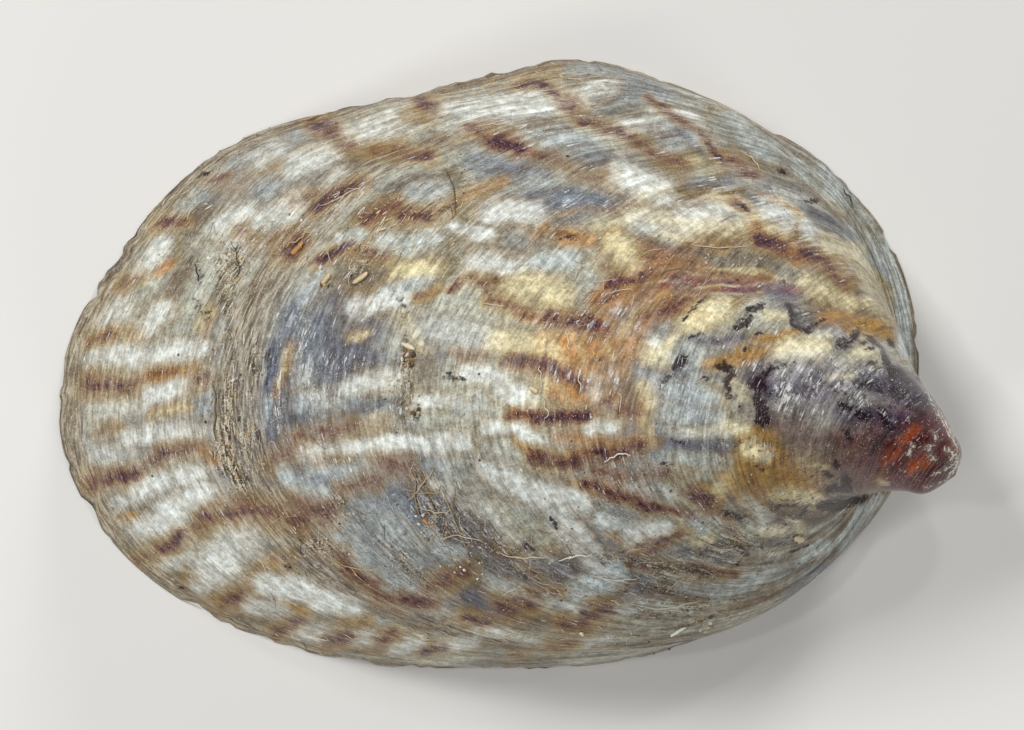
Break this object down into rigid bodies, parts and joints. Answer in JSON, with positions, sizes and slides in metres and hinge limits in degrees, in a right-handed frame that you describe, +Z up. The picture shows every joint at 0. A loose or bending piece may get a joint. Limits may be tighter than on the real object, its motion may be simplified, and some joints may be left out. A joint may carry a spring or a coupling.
{
  "type": "limpet shell",
  "caption": "Small low cap-shaped seashell with a hooked glossy beak over one end, concentric growth lines, a thin oval margin and an open hollow beneath.",
  "frame": {"origin": "middle of the oval opening, on the flat rim that the shell rests on", "axes": "+X along the length towards the hooked beak, +Z up through the top of the shell, +Y to the side that the beak leans away from"},
  "size_m": [0.0126, 0.0086, 0.0048],
  "materials": {
    "shell": "cream and blue-white lime with brown flames, satin to glossy",
    "sand_grain": "clear to tan grit stuck in the growth lines",
    "dirt_fibre": "fine pale and dark fibres"
  },
  "bodies": {
    "root": {"shell": "shell"}
  },
  "joints": []
}
